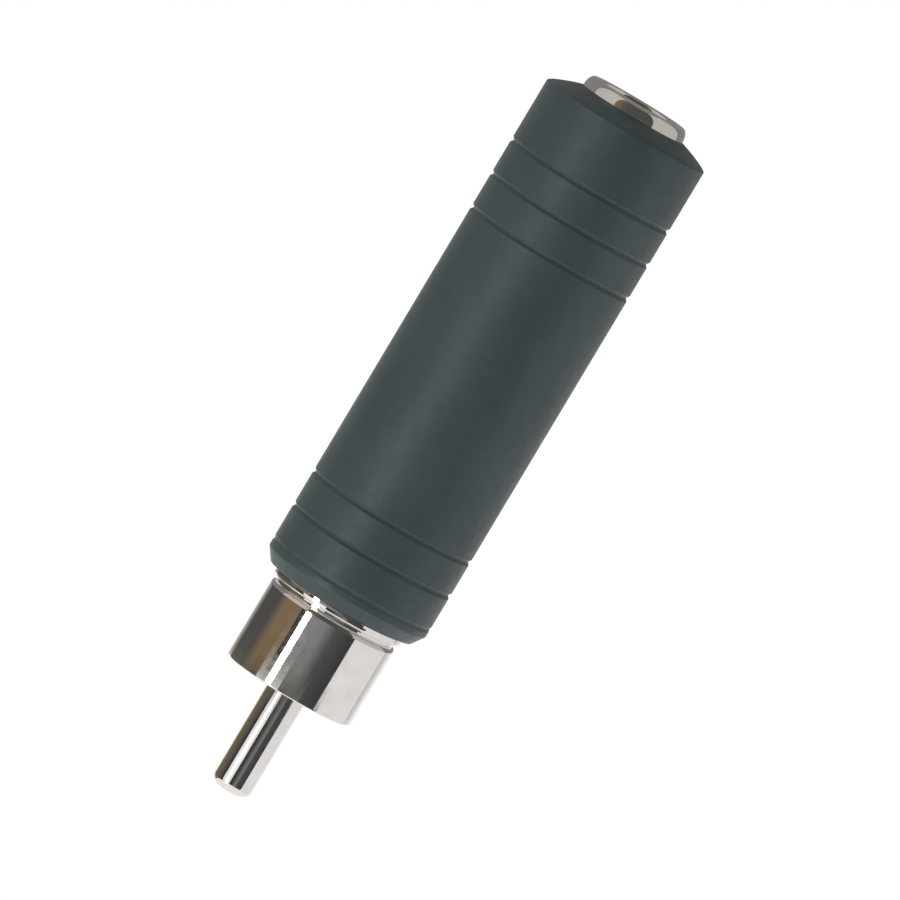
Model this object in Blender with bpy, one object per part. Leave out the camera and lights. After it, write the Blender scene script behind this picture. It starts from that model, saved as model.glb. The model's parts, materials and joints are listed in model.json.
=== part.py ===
"""Straight adapter from a 6.35 mm mono jack socket to a phono plug.

The adapter stands on the flat lip of its jack nose, with the phono pin pointing up.
The origin is the centre of that lip, +Z runs along the axis toward the pin, and the
contact spring of the socket lies on the +Y side. Every size below is in millimetres.
"""

import math

import bmesh
import bpy
from mathutils import Vector

MM = 0.001
MERGE_DISTANCE = 1e-7

# Facets round the turned pieces, the pin and the thin leads
SIDES = 48
PIN_SIDES = 32
LEAD_SIDES = 8
DOME_STEPS = 4

# Gaps between pieces that are pressed or seated together
FIT = 0.05
SOLDER_GAP = 0.04

# Jack socket, from the standard plug outward
PLUG_SLEEVE_RADIUS = 3.175
PLUG_LENGTH = 31.75
SOCKET_CLEARANCE = 0.075
MOUTH_ROUND = 0.3
LIP_RADIUS = 3.75
NOSE_RADIUS = 4.25
NOSE_ROUND_LENGTH = 0.9
TUBE_WALL = 0.55
BAND_LENGTH = 3.8
KNURL_DEPTH = 0.18
TUBE_REST = 0.3

# Insulating ring behind the knurled band, and the slots in it
RING_WALL = 1.4
RING_LENGTH = 4.6
SLOT_SETBACK = 1.1
SLOT_SIDE_GAP = 0.1

# Tip contact: a bent leaf in the slot, under its solder terminal
LEAF_THICKNESS = 0.25
LEAF_WIDTH = 2.2
LEAF_FLOOR_GAP = 0.13
LEAF_ROOM = 0.27
LEAF_END_GAP = 0.2
LEAF_ROOT_LENGTH = 2.9
CREST_RADIUS = 1.95
CREST_SETBACK = 5.45
LEAF_TAIL_LENGTH = 2.7
LEAF_TAIL_RISE = 1.0
LEAF_BEND_RADIUS = 0.9

TERMINAL_THICKNESS = 0.2
TERMINAL_CLEARANCE = 0.15
TERMINAL_ROOT_LENGTH = 3.8
TERMINAL_ARM_WIDTH = 1.2
TERMINAL_TAIL_LENGTH = 5.1
TERMINAL_HALF_ANGLE = 15.0
TERMINAL_TAIL_ANGLES = (30.0, 45.0)
TERMINAL_FACET = 7.5
RECESS_MARGIN = 1.5

# Ground contact: a ring lug on the bushing with a tail along the barrel
LUG_THICKNESS = 0.4
LUG_TAIL_WIDTH = 1.8
LUG_TAIL_LENGTH = 10.5
LUG_CLEARANCE = 0.2

# Moulded barrel
BARREL_WALL = 1.45
SHOULDER_SETBACK = 1.9
DOME_RADIUS = 15.0
FRONT_WALL = 1.7
FRONT_EDGE = 0.12
REAR_ROOM = 11.5
REAR_CHAMFER_LENGTH = 1.0
REAR_CHAMFER_DEPTH = 0.7

# Two groups of shallow rings round the barrel
GROOVES_IN_GROUP = 3
GROOVE_PITCH = 2.9
GROOVE_WIDTH = 0.56
GROOVE_FLOOR = 0.2
GROOVE_DEPTH = 0.2
FRONT_GROOVE_SETBACK = 5.25
REAR_GROOVE_SETBACK = 1.65

# Phono plug: shell with its pressed shank
SHANK_LENGTH = 4.5
SHANK_WALL = 1.1
POCKET_DEPTH = 2.8
WEB_THICKNESS = 3.9
FLANGE_OVERLAP = 0.15
FLANGE_THICKNESS = 0.6
WAIST_DEPTH = 0.3
WAIST_LENGTH = 0.3
SHELL_ROUND = 0.45
SHELL_BORE_RADIUS = 4.2
SHELL_WALL = 1.1
SHELL_LENGTH = 7.55
RIM_CHAMFER = 0.12

# Phono plug: insulator, pin, retainer and ground tag
STEM_RADIUS = 2.55
STEM_REST = 1.1
HEAD_CLEARANCE = 0.1
HEAD_THICKNESS = 1.15
HEAD_STEP_RADIUS = 2.6
HEAD_STEP_HEIGHT = 0.3
PIN_RADIUS = 1.6
PIN_REACH = 8.8
PIN_TIP_LENGTH = 0.95
PIN_TIP_FLAT = 0.65
PIN_STEP_DEPTH = 1.05
PIN_STEM_RADIUS = 1.1
CUP_RADIUS = 0.6
CUP_DEPTH = 1.8
CUP_REACH = 4.65
RETAINER_RADIUS = 2.3
RETAINER_THICKNESS = 0.4
TAG_THICKNESS = 0.4
TAG_CLEARANCE = 0.25
TAG_TAIL_WIDTH = 1.6
TAG_TAIL_LENGTH = 4.2

# Hook-up wire between the two ends
WIRE_RADIUS = 0.2
JACKET_RADIUS = 0.4
JACKET_GAP = 0.06
JACKET_WALL_GAP = 0.1
BEAD_LENGTH = 1.6
BEAD_WIDTH = 1.1
BEAD_HEIGHT = 0.45
BARE_END = 2.2
SOLDER_CREST_SHARE = 0.7
ROUTE_STEPS = 3

# Radii that follow from the sizes above
SOCKET_RADIUS = PLUG_SLEEVE_RADIUS + SOCKET_CLEARANCE
TUBE_RADIUS = SOCKET_RADIUS + TUBE_WALL
RING_BORE = TUBE_RADIUS + FIT
RING_RADIUS = RING_BORE + RING_WALL
BARREL_BORE = RING_RADIUS + FIT
BARREL_RADIUS = BARREL_BORE + BARREL_WALL
PRESSED_RADIUS = BARREL_BORE - FIT
SHELL_RADIUS = SHELL_BORE_RADIUS + SHELL_WALL
WAIST_RADIUS = SHELL_RADIUS - WAIST_DEPTH
FLANGE_RADIUS = BARREL_BORE + FLANGE_OVERLAP
POCKET_RADIUS = PRESSED_RADIUS - SHANK_WALL
TERMINAL_OUTER = BARREL_BORE - TERMINAL_CLEARANCE
TERMINAL_INNER = TERMINAL_OUTER - TERMINAL_THICKNESS
LEAF_TOP = TERMINAL_INNER - LEAF_ROOM
LEAF_Y = LEAF_TOP - LEAF_THICKNESS / 2
SLOT_FLOOR = LEAF_TOP - LEAF_THICKNESS - LEAF_FLOOR_GAP
LUG_OUTER = BARREL_BORE - LUG_CLEARANCE
LEAD_ROUTE_RADIUS = BARREL_BORE - JACKET_WALL_GAP - JACKET_RADIUS

# The front wall is part of a ball, cut by the hole for the nose
NOSE_HOLE = NOSE_RADIUS + FIT
SHOULDER_RADIUS = BARREL_RADIUS - FRONT_EDGE
DOME_CENTRE = SHOULDER_SETBACK + math.sqrt(DOME_RADIUS ** 2 - SHOULDER_RADIUS ** 2)

# Stations along the axis, from the nose to the pin
FRONT_WALL_BACK = DOME_CENTRE - math.sqrt(DOME_RADIUS ** 2 - NOSE_HOLE ** 2) + FRONT_WALL
BAND_FRONT = FRONT_WALL_BACK + FIT
BAND_BACK = BAND_FRONT + BAND_LENGTH
LUG_FRONT = BAND_BACK + FIT
LUG_BACK = LUG_FRONT + LUG_THICKNESS
RING_FRONT = LUG_BACK + FIT
RING_BACK = RING_FRONT + RING_LENGTH
TUBE_END = RING_BACK + TUBE_REST
SLOT_FRONT = RING_FRONT + SLOT_SETBACK
LEAF_FRONT = SLOT_FRONT + LEAF_END_GAP
LEAF_PIVOT = LEAF_FRONT + LEAF_ROOT_LENGTH / 2
CREST_Z = PLUG_LENGTH - CREST_SETBACK
TERMINAL_ARM = LEAF_FRONT + TERMINAL_ROOT_LENGTH
TERMINAL_TAIL = TERMINAL_ARM + TERMINAL_ARM_WIDTH
TERMINAL_END = TERMINAL_TAIL + TERMINAL_TAIL_LENGTH
LUG_TAIL_END = LUG_BACK + LUG_TAIL_LENGTH
BARREL_END = PLUG_LENGTH + REAR_ROOM
FLANGE_SEAT = BARREL_END + FIT
FLANGE_END = FLANGE_SEAT + FLANGE_THICKNESS
WAIST_END = FLANGE_END + WAIST_LENGTH
SHELL_END = FLANGE_SEAT + SHELL_LENGTH
SHANK_END = BARREL_END - SHANK_LENGTH
WEB_BACK = SHANK_END + POCKET_DEPTH
WEB_FRONT = WEB_BACK + WEB_THICKNESS
HEAD_BACK = WEB_FRONT + FIT
HEAD_FRONT = HEAD_BACK + HEAD_THICKNESS
STEM_END = WEB_BACK - STEM_REST
TAG_FRONT = WEB_BACK - FIT - TAG_THICKNESS
TAG_TAIL_END = TAG_FRONT - TAG_TAIL_LENGTH
RETAINER_END = STEM_END - FIT - RETAINER_THICKNESS
CUP_MOUTH = RETAINER_END - CUP_REACH
PIN_STEP = HEAD_FRONT - PIN_STEP_DEPTH
PIN_END = SHELL_END + PIN_REACH

# Surface values: colour, roughness, metallic
BLACK_PLASTIC = ((0.045, 0.050, 0.052), 0.48, 0.0)
NICKEL = ((0.78, 0.76, 0.72), 0.12, 1.0)
BRASS = ((0.74, 0.58, 0.30), 0.28, 1.0)
BRONZE = ((0.70, 0.47, 0.30), 0.30, 1.0)
TINNED = ((0.72, 0.72, 0.70), 0.32, 1.0)
COPPER = ((0.82, 0.45, 0.30), 0.30, 1.0)
SOLDER = ((0.66, 0.67, 0.68), 0.25, 1.0)
NATURAL_NYLON = ((0.78, 0.74, 0.63), 0.45, 0.0)
RED_JACKET = ((0.55, 0.03, 0.03), 0.40, 0.0)
BLACK_JACKET = ((0.02, 0.02, 0.02), 0.40, 0.0)


def clear_scene():
    for item in list(bpy.data.objects):
        bpy.data.objects.remove(item, do_unlink=True)


def surface(name, values):
    colour, roughness, metallic = values
    material = bpy.data.materials.new(name)
    material.use_nodes = True
    shader = material.node_tree.nodes["Principled BSDF"]
    shader.inputs["Base Color"].default_value = (*colour, 1.0)
    shader.inputs["Roughness"].default_value = roughness
    shader.inputs["Metallic"].default_value = metallic
    return material


def place(name, shape, values, location=(0.0, 0.0, 0.0)):
    """Turn a bmesh into a named object with a material of its own."""
    bmesh.ops.recalc_face_normals(shape, faces=shape.faces)
    mesh = bpy.data.meshes.new(name)
    shape.to_mesh(mesh)
    shape.free()
    mesh.shade_smooth()
    mesh.set_sharp_from_angle(angle=math.radians(30.0))
    item = bpy.data.objects.new(name, mesh)
    item.location = Vector(location) * MM
    item.data.materials.append(surface(name + "_surface", values))
    bpy.context.scene.collection.objects.link(item)
    return item


def as_guide(item):
    """Keep a cutter or a joined-in shape out of the finished part."""
    item.hide_render = True
    item.display_type = "WIRE"
    return item


def combine(item, other, operation):
    change = item.modifiers.new(other.name, "BOOLEAN")
    change.operation = operation
    change.solver = "EXACT"
    change.object = as_guide(other)


def arc(centre, radii, start, end, steps):
    """Points on an ellipse, angles in degrees from the radial direction toward +Z."""
    points = []
    for index in range(steps + 1):
        angle = math.radians(start + (end - start) * index / steps)
        points.append((centre[0] + radii[0] * math.cos(angle), centre[1] + radii[1] * math.sin(angle)))
    return points


def turned(profile, sides=SIDES):
    """Spin (radius, z) points round Z. A profile that touches the axis stays open there."""
    shape = bmesh.new()
    points = [shape.verts.new(Vector((radius, 0.0, z)) * MM) for radius, z in profile]
    edges = [shape.edges.new(pair) for pair in zip(points, points[1:])]
    if profile[0][0] > 0.0:
        edges.append(shape.edges.new((points[-1], points[0])))
    bmesh.ops.spin(shape, geom=points + edges, cent=(0, 0, 0), axis=(0, 0, 1),
                   angle=math.tau, steps=sides, use_merge=True)
    bmesh.ops.remove_doubles(shape, verts=shape.verts, dist=MERGE_DISTANCE)
    return shape


def knurl(shape, radius, start, end):
    """Press every second line of a turned band inward, as a straight knurl does."""
    for point in shape.verts:
        on_band = abs(point.co.xy.length - radius * MM) < MERGE_DISTANCE * 10
        in_reach = start * MM < point.co.z < end * MM
        step = round(math.atan2(point.co.y, point.co.x) * SIDES / math.tau)
        if on_band and in_reach and step % 2:
            point.co.xy *= (radius - KNURL_DEPTH) / radius


def block(x, y, z):
    """Box between three (low, high) pairs."""
    shape = bmesh.new()
    bmesh.ops.create_cube(shape, size=1.0)
    spans = (x, y, z)
    for point in shape.verts:
        for axis, (low, high) in enumerate(spans):
            point.co[axis] = (high if point.co[axis] > 0.0 else low) * MM
    return shape


def rolled_sheet(inner, outer, angles, stations, is_metal):
    """Sheet rolled round Z, in cells. Angles run from +Y toward +X, in degrees."""
    shape = bmesh.new()
    corners = {}
    columns = len(angles) - 1
    rows = len(stations) - 1

    def corner(column, row, radius):
        key = (column, row, radius)
        if key not in corners:
            angle = math.radians(angles[column])
            corners[key] = shape.verts.new(
                Vector((radius * math.sin(angle), radius * math.cos(angle), stations[row])) * MM)
        return corners[key]

    def metal(column, row):
        inside = 0 <= column < columns and 0 <= row < rows
        return inside and is_metal(column, row)

    for column in range(columns):
        for row in range(rows):
            if not metal(column, row):
                continue
            around = ((column, row), (column + 1, row), (column + 1, row + 1), (column, row + 1))
            for radius in (inner, outer):
                shape.faces.new([corner(*spot, radius) for spot in around])
            beside = ((column, row - 1), (column + 1, row), (column, row + 1), (column - 1, row))
            for side, neighbour in enumerate(beside):
                if not metal(*neighbour):
                    first = around[side]
                    second = around[(side + 1) % 4]
                    shape.faces.new((corner(*first, inner), corner(*second, inner),
                                     corner(*second, outer), corner(*first, outer)))
    return shape


def rounded(points, radius, steps=4):
    """Replace each inner corner of a chain of (y, z) points by a small arc."""
    chain = [Vector(points[0])]
    for before, here, after in zip(points, points[1:], points[2:]):
        before, here, after = Vector(before), Vector(here), Vector(after)
        back = (before - here).normalized()
        ahead = (after - here).normalized()
        reach = radius * math.tan((math.pi - back.angle(ahead)) / 2)
        start = here + back * reach
        end = here + ahead * reach
        for index in range(steps + 1):
            share = index / steps
            chain.append(start.lerp(here, share).lerp(here.lerp(end, share), share))
    chain.append(Vector(points[-1]))
    return chain


def bent_strip(chain, thickness, width):
    """Extrude a strip of even thickness, drawn by its middle line in (y, z), along X."""
    half = thickness / 2
    upper = []
    lower = []
    for index, here in enumerate(chain):
        before = chain[max(index - 1, 0)]
        after = chain[min(index + 1, len(chain) - 1)]
        along = (after - before).normalized()
        across = Vector((-along.y, along.x)) * half
        upper.append(here + across)
        lower.append(here - across)
    shape = bmesh.new()
    outline = [shape.verts.new(Vector((-width / 2, spot.x, spot.y)) * MM) for spot in upper + lower[::-1]]
    side = shape.faces.new(outline)
    pushed = bmesh.ops.extrude_face_region(shape, geom=[side])
    moved = [item for item in pushed["geom"] if isinstance(item, bmesh.types.BMVert)]
    bmesh.ops.translate(shape, verts=moved, vec=Vector((width, 0.0, 0.0)) * MM)
    return shape


def smooth_route(points, steps=ROUTE_STEPS):
    """Points on a smooth curve through the given ones."""
    spots = [Vector(point) for point in points]
    padded = [spots[0] * 2 - spots[1]] + spots + [spots[-1] * 2 - spots[-2]]
    route = []
    for first, second, third, fourth in zip(padded, padded[1:], padded[2:], padded[3:]):
        for index in range(steps):
            share = index / steps
            route.append(0.5 * (2 * second + (third - first) * share
                                + (2 * first - 5 * second + 4 * third - fourth) * share ** 2
                                + (3 * second - first - 3 * third + fourth) * share ** 3))
    route.append(spots[-1])
    return route


def swept(route, outer, inner=0.0):
    """Rod or tube along a route that mostly follows the axis."""
    shape = bmesh.new()
    radii = (outer, inner) if inner else (outer,)
    skins = []
    for radius in radii:
        loops = []
        for index, here in enumerate(route):
            along = (route[min(index + 1, len(route) - 1)] - route[max(index - 1, 0)]).normalized()
            across = (Vector((1.0, 0.0, 0.0)) - along * along.x).normalized()
            over = along.cross(across)
            loop = []
            for step in range(LEAD_SIDES):
                angle = math.tau * (step + 0.5) / LEAD_SIDES
                offset = (across * math.cos(angle) + over * math.sin(angle)) * radius
                loop.append(shape.verts.new((here + offset) * MM))
            loops.append(loop)
        for first, second in zip(loops, loops[1:]):
            for step in range(LEAD_SIDES):
                following = (step + 1) % LEAD_SIDES
                shape.faces.new((first[step], first[following], second[following], second[step]))
        skins.append(loops)
    for end in (0, -1):
        if inner:
            for step in range(LEAD_SIDES):
                following = (step + 1) % LEAD_SIDES
                shape.faces.new((skins[0][end][step], skins[0][end][following],
                                 skins[1][end][following], skins[1][end][step]))
        else:
            shape.faces.new(skins[0][end])
    return shape


def solder_bead(centre, facing):
    """Half of a long drop, flat on a terminal whose face looks along facing."""
    shape = bmesh.new()
    bmesh.ops.create_uvsphere(shape, u_segments=16, v_segments=8, radius=1.0)
    facing = Vector(facing).normalized()
    across = facing.cross(Vector((0.0, 0.0, 1.0)))
    for point in shape.verts:
        x, y, z = point.co
        point.co = (Vector(centre) + across * (x * BEAD_WIDTH / 2) + facing * (y * BEAD_HEIGHT)
                    + Vector((0.0, 0.0, z * BEAD_LENGTH / 2))) * MM
    base = (Vector(centre) + facing * SOLDER_GAP) * MM
    everything = shape.verts[:] + shape.edges[:] + shape.faces[:]
    cut = bmesh.ops.bisect_plane(shape, geom=everything, plane_co=base, plane_no=-facing, clear_outer=True)
    rim = [item for item in cut["geom_cut"] if isinstance(item, bmesh.types.BMEdge)]
    bmesh.ops.holes_fill(shape, edges=rim, sides=0)
    return shape


def groove(middle):
    """One shallow ring, listed from its nose side to its pin side."""
    floor = BARREL_RADIUS - GROOVE_DEPTH
    return [(BARREL_RADIUS, middle - GROOVE_WIDTH / 2), (floor, middle - GROOVE_FLOOR / 2),
            (floor, middle + GROOVE_FLOOR / 2), (BARREL_RADIUS, middle + GROOVE_WIDTH / 2)]


def make_barrel():
    """Black moulded sleeve with a domed front wall, open at the plug end."""
    start, end = [math.degrees(math.acos(radius / DOME_RADIUS)) for radius in (NOSE_HOLE, SHOULDER_RADIUS)]
    profile = arc((0.0, DOME_CENTRE), (DOME_RADIUS, -DOME_RADIUS), start, end, DOME_STEPS)
    profile.append((BARREL_RADIUS, SHOULDER_SETBACK + FRONT_EDGE))
    first = SHOULDER_SETBACK + FRONT_GROOVE_SETBACK
    last = BARREL_END - REAR_GROOVE_SETBACK
    for index in range(GROOVES_IN_GROUP):
        profile += groove(first + index * GROOVE_PITCH)
    for index in reversed(range(GROOVES_IN_GROUP)):
        profile += groove(last - index * GROOVE_PITCH)
    profile += [(BARREL_RADIUS, BARREL_END - REAR_CHAMFER_LENGTH),
                (BARREL_RADIUS - REAR_CHAMFER_DEPTH, BARREL_END),
                (BARREL_BORE, BARREL_END), (BARREL_BORE, FRONT_WALL_BACK), (NOSE_HOLE, FRONT_WALL_BACK)]
    return place("barrel", turned(profile), BLACK_PLASTIC)


def make_nose_bushing():
    """Turned bushing: rounded nose, knurled band pressed in the barrel, and a thin tube."""
    profile = arc((SOCKET_RADIUS + MOUTH_ROUND, MOUTH_ROUND), (MOUTH_ROUND, MOUTH_ROUND), 180.0, 270.0, 3)
    profile += arc((LIP_RADIUS, NOSE_ROUND_LENGTH), (NOSE_RADIUS - LIP_RADIUS, -NOSE_ROUND_LENGTH),
                   90.0, 0.0, 5)
    profile += [(NOSE_RADIUS, BAND_FRONT), (PRESSED_RADIUS, BAND_FRONT), (PRESSED_RADIUS, BAND_BACK),
                (TUBE_RADIUS, BAND_BACK), (TUBE_RADIUS, TUBE_END), (SOCKET_RADIUS, TUBE_END)]
    shape = turned(profile)
    knurl(shape, PRESSED_RADIUS, BAND_FRONT - FIT, BAND_BACK + FIT)
    return place("nose_bushing", shape, NICKEL)


def make_ground_lug():
    """Ring lug on the bushing tube, with a flat tail along the -Y side of the barrel."""
    ring = turned([(RING_BORE, LUG_FRONT), (LUG_OUTER, LUG_FRONT), (LUG_OUTER, LUG_BACK),
                   (RING_BORE, LUG_BACK)])
    lug = place("ground_lug", ring, TINNED)
    outside = -(LUG_OUTER - FIT)
    tail = block((-LUG_TAIL_WIDTH / 2, LUG_TAIL_WIDTH / 2), (outside, outside + LUG_THICKNESS),
                 (LUG_FRONT + LUG_THICKNESS / 2, LUG_TAIL_END))
    combine(lug, place("ground_lug_tail", tail, TINNED), "UNION")
    return lug


def terminal_angles(margin=0.0):
    half = round(TERMINAL_HALF_ANGLE / TERMINAL_FACET)
    angles = [TERMINAL_FACET * step for step in range(-half, half + 1)]
    return [angles[0] - margin] + angles + [angles[-1] + margin] if margin else angles


def make_contact_ring():
    """Insulating ring with a stepped slot for the tip contact and a notch for the ground tail."""
    ring = place("contact_ring", turned([(RING_BORE, RING_FRONT), (RING_RADIUS, RING_FRONT),
                                         (RING_RADIUS, RING_BACK), (RING_BORE, RING_BACK)]), NATURAL_NYLON)
    beyond = RING_RADIUS + RING_WALL
    half_slot = LEAF_WIDTH / 2 + SLOT_SIDE_GAP
    slot = block((-half_slot, half_slot), (SLOT_FLOOR, beyond), (SLOT_FRONT, RING_BACK + RING_WALL))
    combine(ring, place("leaf_slot", slot, NATURAL_NYLON), "DIFFERENCE")
    recess = rolled_sheet(TERMINAL_INNER - FIT, beyond, terminal_angles(RECESS_MARGIN),
                          (SLOT_FRONT, RING_BACK + RING_WALL), lambda column, row: True)
    combine(ring, place("terminal_recess", recess, NATURAL_NYLON), "DIFFERENCE")
    half_notch = LUG_TAIL_WIDTH / 2 + SLOT_SIDE_GAP
    notch_floor = LUG_OUTER - FIT - LUG_THICKNESS - SLOT_SIDE_GAP
    notch = block((-half_notch, half_notch), (-beyond, -notch_floor),
                  (RING_FRONT - RING_WALL, RING_BACK + RING_WALL))
    combine(ring, place("ground_notch", notch, NATURAL_NYLON), "DIFFERENCE")
    return ring


def make_tip_spring():
    """Bronze leaf whose crest drops into the waist of an inserted plug. Its origin is its root."""
    crest = CREST_RADIUS + LEAF_THICKNESS / 2
    bends = [(LEAF_Y, LEAF_FRONT), (LEAF_Y, LEAF_FRONT + LEAF_ROOT_LENGTH), (crest, CREST_Z),
             (crest + LEAF_TAIL_RISE, CREST_Z + LEAF_TAIL_LENGTH)]
    from_root = [(y - LEAF_Y, z - LEAF_PIVOT) for y, z in bends]
    leaf = bent_strip(rounded(from_root, LEAF_BEND_RADIUS), LEAF_THICKNESS, LEAF_WIDTH)
    return place("tip_spring", leaf, BRONZE, (0.0, LEAF_Y, LEAF_PIVOT))


def make_tip_terminal():
    """Rolled sheet over the leaf's root, with an arm to one side and a solder tail."""
    angles = terminal_angles()
    step = TERMINAL_FACET
    while angles[-1] < TERMINAL_TAIL_ANGLES[1]:
        angles.append(angles[-1] + step)
    stations = (LEAF_FRONT, TERMINAL_ARM, TERMINAL_TAIL, TERMINAL_END)

    def is_metal(column, row):
        root = angles[column + 1] <= TERMINAL_HALF_ANGLE and row < 2
        tail = angles[column] >= TERMINAL_TAIL_ANGLES[0] and row > 0
        return root or tail or row == 1

    sheet = rolled_sheet(TERMINAL_INNER, TERMINAL_OUTER, angles, stations, is_metal)
    return place("tip_terminal", sheet, TINNED)


def make_plug_shell():
    """Turned shell: knurled shank in the barrel, flange, waist and the skirt of the plug."""
    web_bore = STEM_RADIUS + FIT
    profile = [(POCKET_RADIUS, SHANK_END), (PRESSED_RADIUS, SHANK_END), (PRESSED_RADIUS, FLANGE_SEAT),
               (FLANGE_RADIUS, FLANGE_SEAT), (FLANGE_RADIUS, FLANGE_END), (WAIST_RADIUS, FLANGE_END)]
    profile += arc((WAIST_RADIUS, WAIST_END + SHELL_ROUND), (WAIST_DEPTH, -SHELL_ROUND), 90.0, 0.0, 4)
    profile += [(SHELL_RADIUS, SHELL_END - RIM_CHAMFER), (SHELL_RADIUS - RIM_CHAMFER, SHELL_END),
                (SHELL_BORE_RADIUS + RIM_CHAMFER, SHELL_END), (SHELL_BORE_RADIUS, SHELL_END - RIM_CHAMFER),
                (SHELL_BORE_RADIUS, WEB_FRONT), (web_bore, WEB_FRONT), (web_bore, WEB_BACK),
                (POCKET_RADIUS, WEB_BACK)]
    shape = turned(profile)
    knurl(shape, PRESSED_RADIUS, SHANK_END - FIT, FLANGE_SEAT + FIT)
    return place("plug_shell", shape, NICKEL)


def make_plug_insulator():
    """Flanged insulator that holds the pin in the web of the shell."""
    head = SHELL_BORE_RADIUS - HEAD_CLEARANCE
    narrow = PIN_STEM_RADIUS + FIT
    wide = PIN_RADIUS + FIT
    step = PIN_STEP - FIT
    profile = [(narrow, STEM_END), (STEM_RADIUS, STEM_END), (STEM_RADIUS, HEAD_BACK), (head, HEAD_BACK),
               (head, HEAD_FRONT - HEAD_STEP_HEIGHT), (HEAD_STEP_RADIUS, HEAD_FRONT - HEAD_STEP_HEIGHT),
               (HEAD_STEP_RADIUS, HEAD_FRONT), (wide, HEAD_FRONT), (wide, step), (narrow, step)]
    return place("plug_insulator", turned(profile), BLACK_PLASTIC)


def make_plug_pin():
    """Centre pin with a rounded tip, a thinner stem and a solder cup behind."""
    profile = [(0.0, CUP_MOUTH + CUP_DEPTH), (CUP_RADIUS, CUP_MOUTH + CUP_DEPTH), (CUP_RADIUS, CUP_MOUTH),
               (PIN_STEM_RADIUS, CUP_MOUTH), (PIN_STEM_RADIUS, PIN_STEP), (PIN_RADIUS, PIN_STEP)]
    profile += arc((PIN_TIP_FLAT, PIN_END - PIN_TIP_LENGTH), (PIN_RADIUS - PIN_TIP_FLAT, PIN_TIP_LENGTH),
                   0.0, 90.0, 6)
    profile.append((0.0, PIN_END))
    return place("plug_pin", turned(profile, PIN_SIDES), NICKEL)


def make_pin_retainer():
    """Push-on washer that stops the pin and insulator from pulling out forward."""
    inner = PIN_STEM_RADIUS + FIT
    ring = turned([(inner, RETAINER_END), (RETAINER_RADIUS, RETAINER_END),
                   (RETAINER_RADIUS, RETAINER_END + RETAINER_THICKNESS),
                   (inner, RETAINER_END + RETAINER_THICKNESS)])
    return place("pin_retainer", ring, BRASS)


def make_ground_tag():
    """Ring tag against the web of the shell, with a tail toward the socket."""
    inner = STEM_RADIUS + FIT
    outer = POCKET_RADIUS - TAG_CLEARANCE
    back = TAG_FRONT + TAG_THICKNESS
    ring = turned([(inner, TAG_FRONT), (outer, TAG_FRONT), (outer, back), (inner, back)])
    tag = place("ground_tag", ring, TINNED)
    outside = -(outer - FIT)
    tail = block((-TAG_TAIL_WIDTH / 2, TAG_TAIL_WIDTH / 2), (outside, outside + TAG_THICKNESS),
                 (TAG_TAIL_END, TAG_FRONT + TAG_THICKNESS / 2))
    combine(tag, place("ground_tag_tail", tail, TINNED), "UNION")
    return tag


def make_lead(name, route, jacket_values):
    """Copper wire through a jacket that leaves both ends bare."""
    wire = smooth_route(route)
    covered = [spot for spot in wire if wire[0].z + BARE_END < spot.z < wire[-1].z - BARE_END]
    place(name + "_wire", swept(wire, WIRE_RADIUS), COPPER)
    place(name + "_jacket", swept(covered, JACKET_RADIUS, WIRE_RADIUS + JACKET_GAP), jacket_values)


def make_tip_circuit():
    """Red lead from the tip terminal to the solder cup of the pin."""
    azimuth = math.radians(sum(TERMINAL_TAIL_ANGLES) / 2)
    outward = Vector((math.sin(azimuth), math.cos(azimuth), 0.0))
    face = TERMINAL_INNER * math.cos(math.radians(TERMINAL_FACET / 2))
    bead_z = TERMINAL_END - BEAD_LENGTH
    place("tip_solder", solder_bead(outward * face + Vector((0.0, 0.0, bead_z)), -outward), SOLDER)

    start = bead_z + BEAD_LENGTH / 2 + SOLDER_GAP
    bare = face - SOLDER_GAP - WIRE_RADIUS
    turn = CUP_MOUTH - start
    stops = ((bare, 0.0), (bare, 0.1), (LEAD_ROUTE_RADIUS, 0.25), (LEAD_ROUTE_RADIUS, 0.5),
             (LEAD_ROUTE_RADIUS, 0.7), (LEAD_ROUTE_RADIUS * 0.88, 0.78), (LEAD_ROUTE_RADIUS * 0.55, 0.87),
             (LEAD_ROUTE_RADIUS * 0.12, 0.955))
    route = [outward * radius + Vector((0.0, 0.0, start + turn * share)) for radius, share in stops]
    route += [Vector((0.0, 0.0, CUP_MOUTH)), Vector((0.0, 0.0, CUP_MOUTH + CUP_DEPTH * 0.75))]
    make_lead("tip_lead", route, RED_JACKET)

    bore = WIRE_RADIUS + SOLDER_GAP
    skirt = CUP_RADIUS - SOLDER_GAP
    floor = CUP_MOUTH + CUP_DEPTH - FIT
    profile = [(bore, CUP_MOUTH - CUP_RADIUS / 2), (skirt * SOLDER_CREST_SHARE, CUP_MOUTH - CUP_RADIUS / 4),
               (skirt, CUP_MOUTH), (skirt, floor), (bore, floor)]
    place("pin_solder", turned(profile, LEAD_SIDES * 2), SOLDER)


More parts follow.
